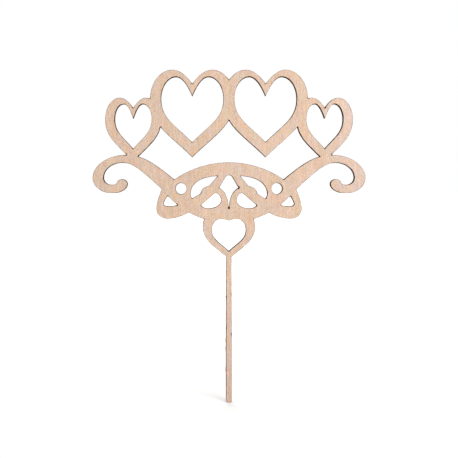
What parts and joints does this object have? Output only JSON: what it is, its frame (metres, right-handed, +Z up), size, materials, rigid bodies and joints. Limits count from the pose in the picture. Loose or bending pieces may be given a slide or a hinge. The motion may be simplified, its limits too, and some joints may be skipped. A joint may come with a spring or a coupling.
{
  "type": "cake topper",
  "caption": "Flat laser-cut plywood cake topper: a row of open hearts on a scrolled bracket with a looped knot, a small heart below, and a long stick that pushes into a cake.",
  "frame": {"origin": "centre of the stick's lower end, at the middle of the sheet's thickness", "axes": "+X to the right as seen from the front, +Y through the sheet from the front face to the back face, +Z up along the stick to the crest"},
  "size_m": [0.127, 0.003, 0.1548],
  "materials": {
    "face_veneer": "sanded basswood veneer, grain upright, unvarnished, with laser-charred cut edges",
    "core_veneer": "basswood core veneer, grain across, seen only on the laser-charred cut edges",
    "glue_film": "cured resin glue, a dark line on the cut edge"
  },
  "bodies": {
    "root": {"front_veneer": "face_veneer", "front_glue_film": "glue_film", "core_veneer": "core_veneer", "back_glue_film": "glue_film", "back_veneer": "face_veneer"}
  },
  "joints": []
}
